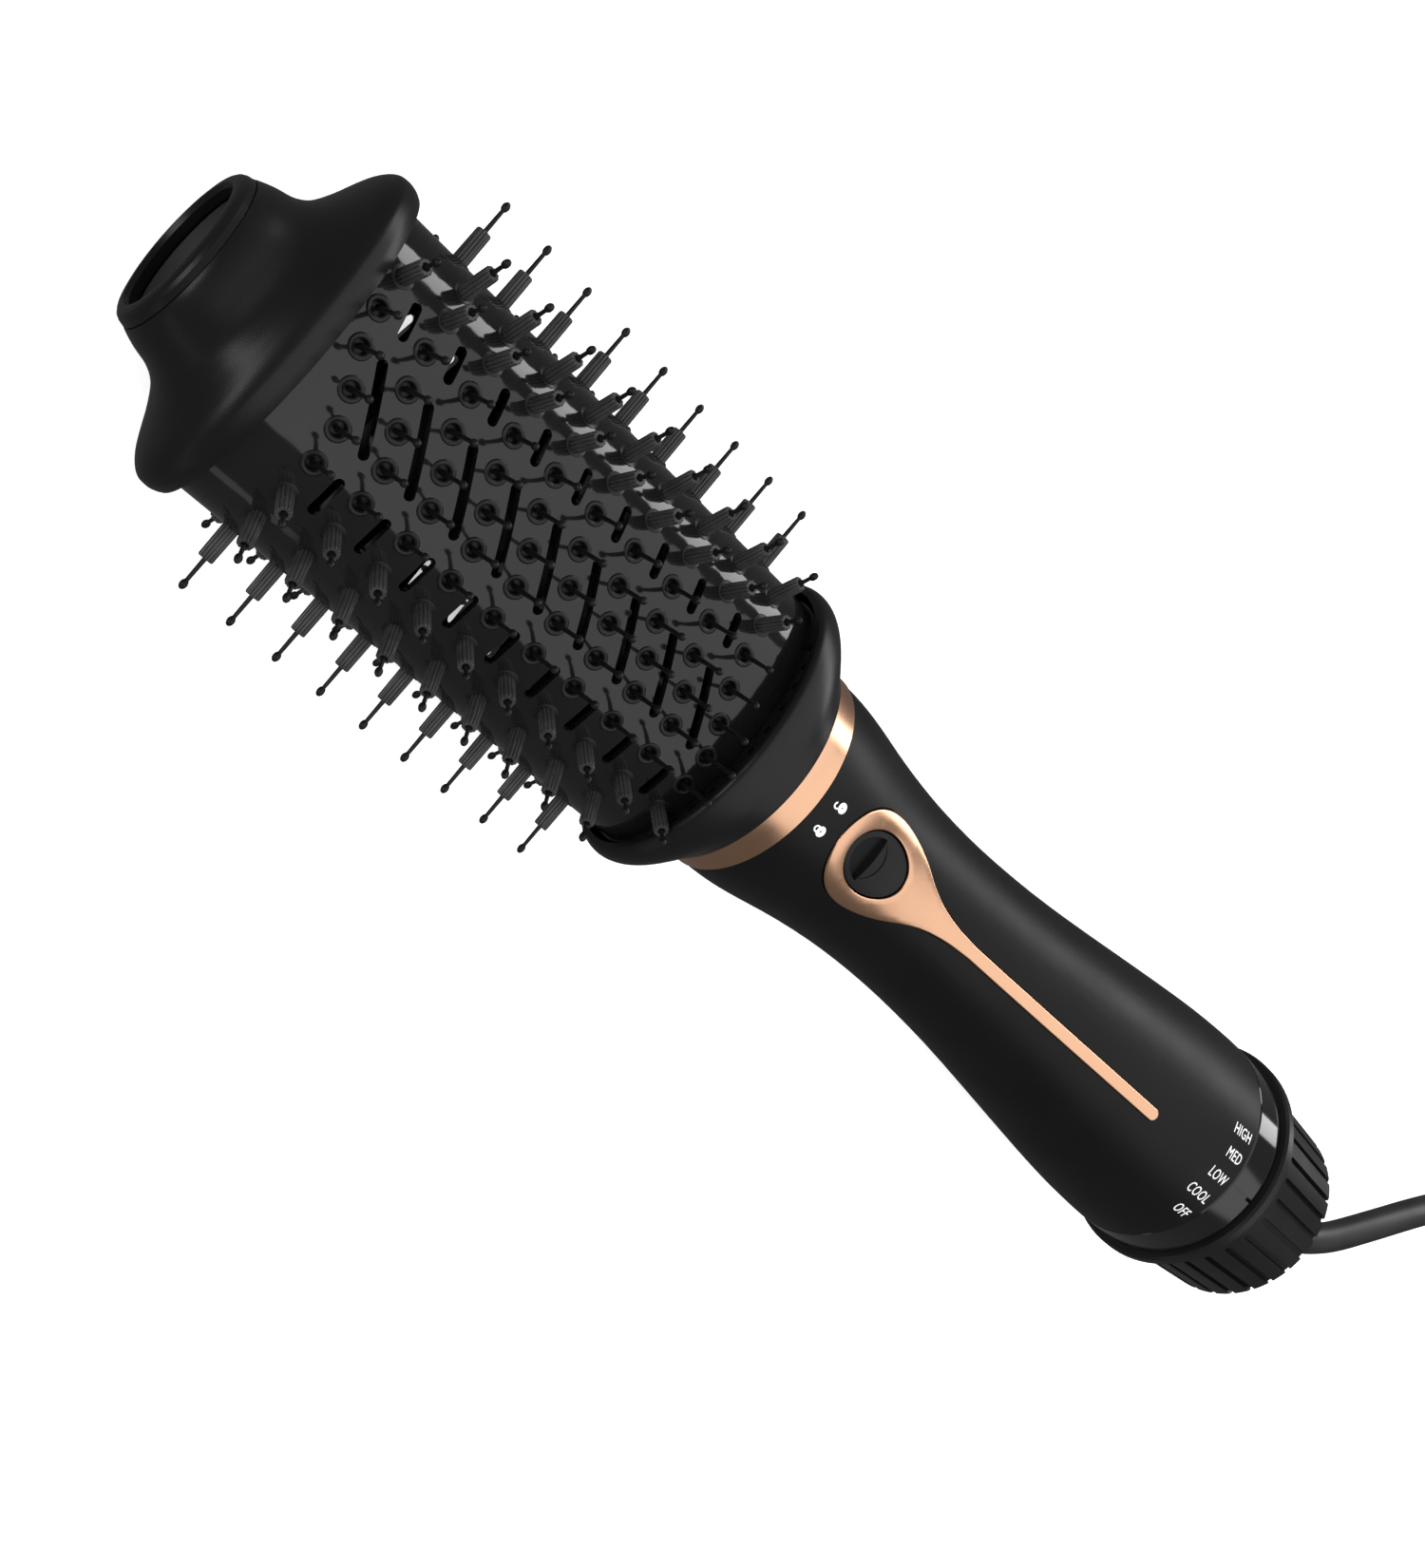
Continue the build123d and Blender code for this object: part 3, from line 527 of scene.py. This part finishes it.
def padlock(name, x, angle_deg, opened):
    """Padlock mark 3 mm tall, its shackle towards the nose."""
    bm = bmesh.new()
    outer = [bm.verts.new(p) for p in ellipse(BODY_R * BODY_WIDEN, BODY_R, BODY_Y)]
    inner = [bm.verts.new(p) for p in ellipse(KEYHOLE_R, KEYHOLE_R, KEYHOLE_Y)]
    for k in range(PADLOCK_SEGMENTS):
        n = (k + 1) % PADLOCK_SEGMENTS
        bm.faces.new([outer[k], outer[n], inner[n], inner[k]])
    tilt = Matrix.Rotation(math.radians(OPEN_TILT_DEG if opened else 0), 2)
    pairs = []
    for centre, a in shackle_path(opened):
        out = Vector((math.cos(a), math.sin(a))) * SHACKLE_HALF_WIDTH
        ends = [tilt @ (point - SHACKLE_PIVOT) + SHACKLE_PIVOT for point in (centre - out, centre + out)]
        pairs.append([bm.verts.new((*end, 0)) for end in ends])
    for p, q in zip(pairs, pairs[1:]):
        bm.faces.new([p[0], q[0], q[1], p[1]])
    ink_piece(name, bm, x, angle_deg, along=(0, 1), across=(-1, 0))


def prints():
    """Setting words beside the dial and the two lock marks by the ring."""
    for word, angle in LABELS:
        label(word, angle)
    padlock("mark_unlocked", 20.6, -8.4, True)
    padlock("mark_locked", 21.1, 6.3, False)


# ---- nose ----
# (x, half width, half thickness) of the trumpet from its back edge to the parting line, and of its inner wall
NOSE_STATIONS = [(146.5, 31.3, 20.3), (147.4, 31.75, 20.65), (148.4, 32.0, 20.95), (149.4, 32.0, 21.0),
                 (150.3, 31.85, 20.95), (151.1, 31.35, 20.75), (151.9, 30.5, 20.45), (152.7, 29.3, 20.05),
                 (153.6, 27.4, 19.55), (155.4, 23.3, 18.6), (157.6, 19.6, 17.7), (160.2, 17.6, 17.1),
                 (163.5, 16.6, 16.4), (165.6, 15.8, 15.8), (166.6, 15.3, 15.3)]
NOSE_INNER = [(166.6, 13.3, 13.3), (160.2, 16.2, 15.6), (156.5, 18.6, 15.9), (153.4, 24.0, 16.8),
              (150.5, 28.4, 17.5), (146.5, 28.6, 17.6)]
NOSE_STEPS = 5
NOSE_INNER_STEPS = 3
NOSE_SEGMENTS = 128


def smooth_between(stations, steps):
    """Stations with more of them in between, on a smooth curve through them all."""
    result = []
    last = len(stations) - 1
    for k in range(last):
        p0, p1, p2, p3 = (Vector(stations[max(0, min(last, i))]) for i in (k - 1, k, k + 1, k + 2))
        for j in range(steps):
            t = j / steps
            result.append(0.5 * (2 * p1 + (p2 - p0) * t + (2 * p0 - 5 * p1 + 4 * p2 - p3) * t ** 2
                                 + (3 * p1 - p0 - 3 * p2 + p3) * t ** 3))
    return result + [Vector(stations[-1])]


def nose():
    """Cool-touch trumpet with a soft edge round its widest part."""
    bm = bmesh.new()
    angles = [2 * math.pi * k / NOSE_SEGMENTS for k in range(NOSE_SEGMENTS)]
    rings = []
    for x, a, b in smooth_between(NOSE_STATIONS, NOSE_STEPS) + smooth_between(NOSE_INNER, NOSE_INNER_STEPS):
        places = [Vector((x, a * math.cos(t), AXIS_Z + b * math.sin(t))) * MM for t in angles]
        rings.append([bm.verts.new(place) for place in places])
    for ring, after in zip(rings, rings[1:] + rings[:1]):
        for k in range(NOSE_SEGMENTS):
            n = (k + 1) % NOSE_SEGMENTS
            bm.faces.new([ring[k], ring[n], after[n], after[k]]).smooth = True
    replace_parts(finish_mesh("nose_trumpet", bm, [SATIN], "head"), "nose_cap")


# ---- teardrop trim ----
TRIM_PROUD = 0.4          # trim's top over the handle
TRIM_TAIL_R = 1.45        # half width of the trim's tail, and radius of its end
TRIM_TAIL_STEP = 1.5
TRIM_TAIL_STEPS = 42
TRIM_END_X = -95.2
TRIM_END_STEPS = 12
HOLE_X = 3.7              # middle and half axes of the opening for the button
HOLE_A = 9.0
HOLE_B = 6.6
HOLE_SEGMENTS = 72
# one side of the teardrop, from the straight tail to the tip, as (x, half width)
TRIM_SIDE = [(-31.0, TRIM_TAIL_R), (-25.0, 1.85), (-20.5, 2.5), (-17.0, 3.3), (-14.0, 4.35), (-11.5, 5.45),
             (-9.0, 6.75), (-6.5, 7.9), (-3.2, 9.1), (0.5, 10.0), (4.2, 10.35), (8.0, 9.9), (11.3, 8.5),
             (14.0, 6.1), (15.7, 3.1), (16.3, 0.0)]
TRIM_SIDE_STEPS = 6
# rounded edge of the trim: distance in from the outline, and height over the handle
TRIM_EDGE = [(0.0, -0.5), (0.0, 0.18), (0.07, 0.29), (0.18, 0.37), (0.34, TRIM_PROUD)]
TRIM_GRID = 1.7           # longest edge wanted inside the trim's flat faces
TRIM_ROUNDS = 4           # how often they are split to get there
LEVEL_LIMIT = 0.001       # height difference below which a face counts as level


def trim_outline():
    """Closed outline seen from above, clockwise."""
    both = [(x, y, 0) for x, y in TRIM_SIDE] + [(x, -y, 0) for x, y in TRIM_SIDE[-2::-1]]
    teardrop = [(p.x, p.y) for p in smooth_between(both, TRIM_SIDE_STEPS)]
    tail = [TRIM_SIDE[0][0] - TRIM_TAIL_STEP * k for k in range(1, TRIM_TAIL_STEPS + 1)]
    turn = [math.pi * k / TRIM_END_STEPS for k in range(TRIM_END_STEPS + 1)]
    end = [(TRIM_END_X - TRIM_TAIL_R * math.sin(t), -TRIM_TAIL_R * math.cos(t)) for t in turn]
    return teardrop + [(x, -TRIM_TAIL_R) for x in tail] + end + [(x, TRIM_TAIL_R) for x in tail[::-1]]


def button_opening():
    """Oval outline round the button, clockwise."""
    angles = [-2 * math.pi * k / HOLE_SEGMENTS for k in range(HOLE_SEGMENTS)]
    return [(HOLE_X + HOLE_A * math.cos(t), HOLE_B * math.sin(t)) for t in angles]


def shifted(points, amount):
    """Clockwise outline moved inwards by amount."""
    result = []
    for (x0, y0), (x, y), (x1, y1) in zip(points[-1:] + points[:-1], points, points[1:] + points[:1]):
        step = math.hypot(x1 - x0, y1 - y0)
        result.append((x + (y1 - y0) / step * amount, y - (x1 - x0) / step * amount))
    return result


def rounded_border(bm, outline, side):
    """Strips from the trim's underside to its top along an outline; returns the edges at both ends."""
    rows = []
    for inset, height in TRIM_EDGE:
        rows.append([bm.verts.new((x, y, height)) for x, y in shifted(outline, side * inset)])
    count = len(outline)
    for row, after in zip(rows, rows[1:]):
        for k in range(count):
            n = (k + 1) % count
            bm.faces.new([row[k], row[n], after[n], after[k]])
    ends = (rows[0], rows[-1])
    return [[bm.edges.get([row[k], row[(k + 1) % count]]) for k in range(count)] for row in ends]


def is_level(face):
    """Whether a face lies level, as the trim's top and underside do before they are wrapped."""
    heights = [vert.co.z for vert in face.verts]
    return max(heights) - min(heights) < LEVEL_LIMIT


def split_flats(bm, flats):
    """Splits the long edges between flat faces, so that these can follow the handle's curve."""
    for _ in range(TRIM_ROUNDS):
        shared = {e for f in flats for e in f.edges if len(e.link_faces) == 2}
        long_edges = [e for e in shared if e.calc_length() > TRIM_GRID]
        if not long_edges:
            break
        bmesh.ops.subdivide_edges(bm, edges=long_edges, cuts=1)
        bmesh.ops.triangulate(bm, faces=[f for f in bm.faces if len(f.verts) > 3])
        flats = [f for f in bm.faces if is_level(f)]


def trim():
    """Metallised inlay round the button and down the handle, with a rounded edge."""
    bm = bmesh.new()
    outer = rounded_border(bm, trim_outline(), 1)
    inner = rounded_border(bm, button_opening(), -1)
    flats = []
    for outside, inside in zip(outer, inner):
        made = bmesh.ops.triangle_fill(bm, use_beauty=True, edges=outside + inside)
        flats += [g for g in made["geom"] if isinstance(g, bmesh.types.BMFace)]
    split_flats(bm, flats)
    for vert in bm.verts:
        x, y, height = vert.co
        r = smooth_radius(x) + height
        vert.co = Vector((x, y, AXIS_Z + math.sqrt(r * r - y * y))) * MM
    for face in bm.faces:
        face.smooth = True
    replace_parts(finish_mesh("teardrop_trim_rounded", bm, [ROSE], "handle", 50), "teardrop_trim")


# ---- cord ----
def coil_points():
    """Neat coil: three turns on the floor from the outside in, then two nested on top going out."""
    points = []
    shrink = math.cos(math.radians(COIL_STEP_DEG / 2))
    for step in range(int(COIL_STAGES[-1][0] / COIL_STEP_DEG) + 1):
        wound = step * COIL_STEP_DEG
        near = [pair for pair in zip(COIL_STAGES, COIL_STAGES[1:]) if pair[0][0] <= wound <= pair[1][0]][0]
        (w0, r0, h0), (w1, r1, h1) = near
        t = (wound - w0) / (w1 - w0)
        radius = (r0 + (r1 - r0) * t) / shrink
        angle = math.radians(COIL_START_DEG - wound)
        x = COIL_CENTRE[0] + radius * math.cos(angle)
        y = COIL_CENTRE[1] + radius * math.sin(angle)
        points.append((x, y, h0 + (h1 - h0) * t - AXIS_Z))
    return points


def power_cord():
    """The whole flexible cord as one round curve, from the strain relief to the plug."""
    curve = bpy.data.curves.new("power_cord", "CURVE")
    curve.dimensions = "3D"
    curve.bevel_depth = CORD_R * MM
    curve.bevel_resolution = 6
    curve.use_fill_caps = True
    route = LEAD + coil_points() + TAIL
    spline = curve.splines.new("NURBS")
    spline.points.add(len(route) - 1)
    for point, (x, y, z) in zip(spline.points, route):
        point.co = (x * MM, y * MM, (z + AXIS_Z) * MM, 1)
    spline.order_u = 3
    spline.use_endpoint_u = True
    spline.resolution_u = 6
    curve.materials.append(RUBBER)
    piece = bpy.data.objects.new("power_cord", curve)
    bpy.context.scene.collection.objects.link(piece)
    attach(piece, "handle")
    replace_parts(piece, "cord_tube", "cord_coil", "cord_tail")


# ---- stage, in metres ----
FLOOR_HALF = 12.0
FLOOR_GLOW = 0.35
WORLD_LIGHT = 1.0
WORLD_REFLECTED = 0.12
# each lamp: name, place, the point it faces, its two sides, watts
LAMPS = [
    ("panel_over", (-0.55, -0.52, 0.95), (-0.55, -0.52, 0.0), (1.7, 2.15), 12.0),
    ("strip_right", (-0.8, -1.7, 0.35), (0.0, 0.0, 0.03), (2.2, 0.5), 18.0),
    ("strip_left", (0.35, 1.6, 0.35), (0.1, 0.0, 0.03), (1.6, 0.22), 0.6),
    ("strip_nose", (1.5, 0.5, 1.0), (0.15, 0.0, 0.03), (0.9, 0.5), 6.0),
]
LENS_MM = 43.37
CAMERA_PLACE = (0.22645, 0.02109, 0.33580)
CAMERA_TURN_DEG = (-20.9415, -25.5185, -134.6101)


def floor():
    """Plain white paper that glows a little, so that it stays white out to the horizon."""
    mesh = bpy.data.meshes.new("floor")
    corners = [(x * FLOOR_HALF, y * FLOOR_HALF, 0) for x, y in ((-1, -1), (1, -1), (1, 1), (-1, 1))]
    mesh.from_pydata(corners, [], [(0, 1, 2, 3)])
    glow = {"Emission_Color": (1, 1, 1, 1), "Emission_Strength": FLOOR_GLOW}
    mesh.materials.append(shader("floor_white", (0.9, 0.9, 0.9), 0.9, **glow))
    obj = bpy.data.objects.new("floor", mesh)
    bpy.context.scene.collection.objects.link(obj)
    obj.visible_glossy = False


def area_light(name, place, target, sides, power):
    """Rectangular soft box that faces the target."""
    data = bpy.data.lights.new(name, "AREA")
    data.energy = power
    data.shape = "RECTANGLE"
    data.size, data.size_y = sides
    lamp = bpy.data.objects.new(name, data)
    lamp.location = place
    lamp.rotation_euler = (Vector(target) - Vector(place)).to_track_quat("-Z", "Y").to_euler()
    bpy.context.scene.collection.objects.link(lamp)


def studio_world():
    """White surroundings that light softly, and look dimmer in reflections, as a studio's dark corners do."""
    world = bpy.data.worlds.new("studio")
    world.use_nodes = True
    tree = world.node_tree
    tree.nodes["Background"].inputs["Color"].default_value = (1, 1, 1, 1)
    path = tree.nodes.new("ShaderNodeLightPath")
    strength = tree.nodes.new("ShaderNodeMapRange")
    strength.inputs["To Min"].default_value = WORLD_LIGHT
    strength.inputs["To Max"].default_value = WORLD_REFLECTED
    tree.links.new(path.outputs["Is Glossy Ray"], strength.inputs["Value"])
    tree.links.new(strength.outputs["Result"], tree.nodes["Background"].inputs["Strength"])
    bpy.context.scene.world = world


def lights():
    """World and lamps; colours are shown as they are, without a film curve."""
    bpy.context.scene.view_settings.view_transform = "Standard"
    studio_world()
    for lamp in LAMPS:
        area_light(*lamp)


def camera():
    """Camera above the nose, looking down along the brush."""
    data = bpy.data.cameras.new("camera")
    data.sensor_width = 36
    data.sensor_fit = "AUTO"
    data.lens = LENS_MM
    data.clip_start = 0.01
    obj = bpy.data.objects.new("camera", data)
    turn = Euler([math.radians(angle) for angle in CAMERA_TURN_DEG])
    obj.matrix_world = Matrix.Translation(CAMERA_PLACE) @ turn.to_matrix().to_4x4()
    bpy.context.scene.collection.objects.link(obj)
    bpy.context.scene.camera = obj


camera()
power_cord()
dress_frame()
bristles()
nose()
trim()
prints()
floor()
lights()
